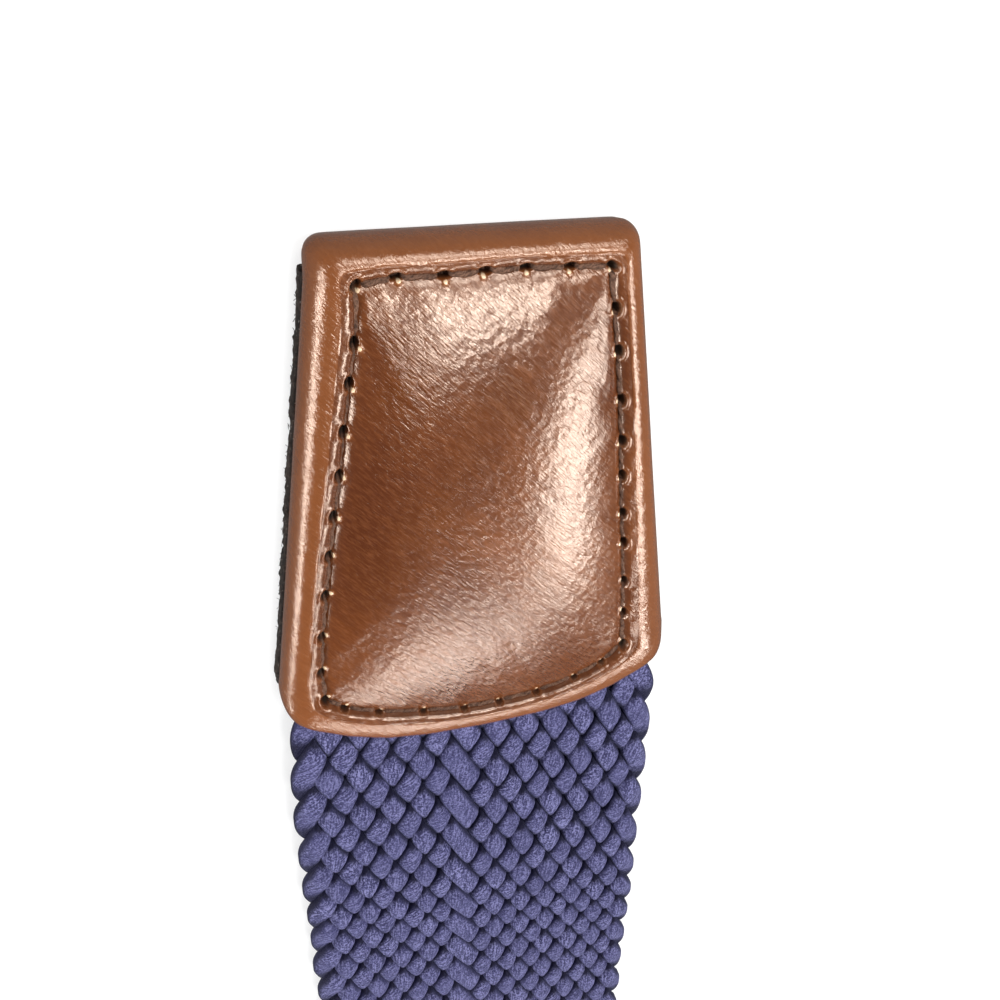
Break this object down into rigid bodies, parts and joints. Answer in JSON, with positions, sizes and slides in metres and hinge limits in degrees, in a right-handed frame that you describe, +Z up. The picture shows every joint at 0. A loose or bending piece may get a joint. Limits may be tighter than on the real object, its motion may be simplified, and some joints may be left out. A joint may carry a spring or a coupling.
{
  "type": "braided belt",
  "caption": "Braided cord belt laid out flat in one open bend, with a padded stitched leather tip and a plain prong buckle.",
  "frame": {"origin": "on the floor under the middle of the laid out belt's box", "axes": "+Z up from the floor, the tip at the -Y side points along +X, the buckle lies at the +Y side"},
  "size_m": [0.3978, 0.6386, 0.0071],
  "materials": {
    "braid": "navy blue-violet braided cord",
    "leather": "glossy waxed brown leather",
    "backing": "dark raw fibrous edge",
    "metal": "satin"
  },
  "bodies": {
    "root": {"braid_strap": "braid", "tip_leather": "leather", "tip_backing": "backing", "buckle_leather": "leather", "buckle": "metal"}
  },
  "joints": []
}
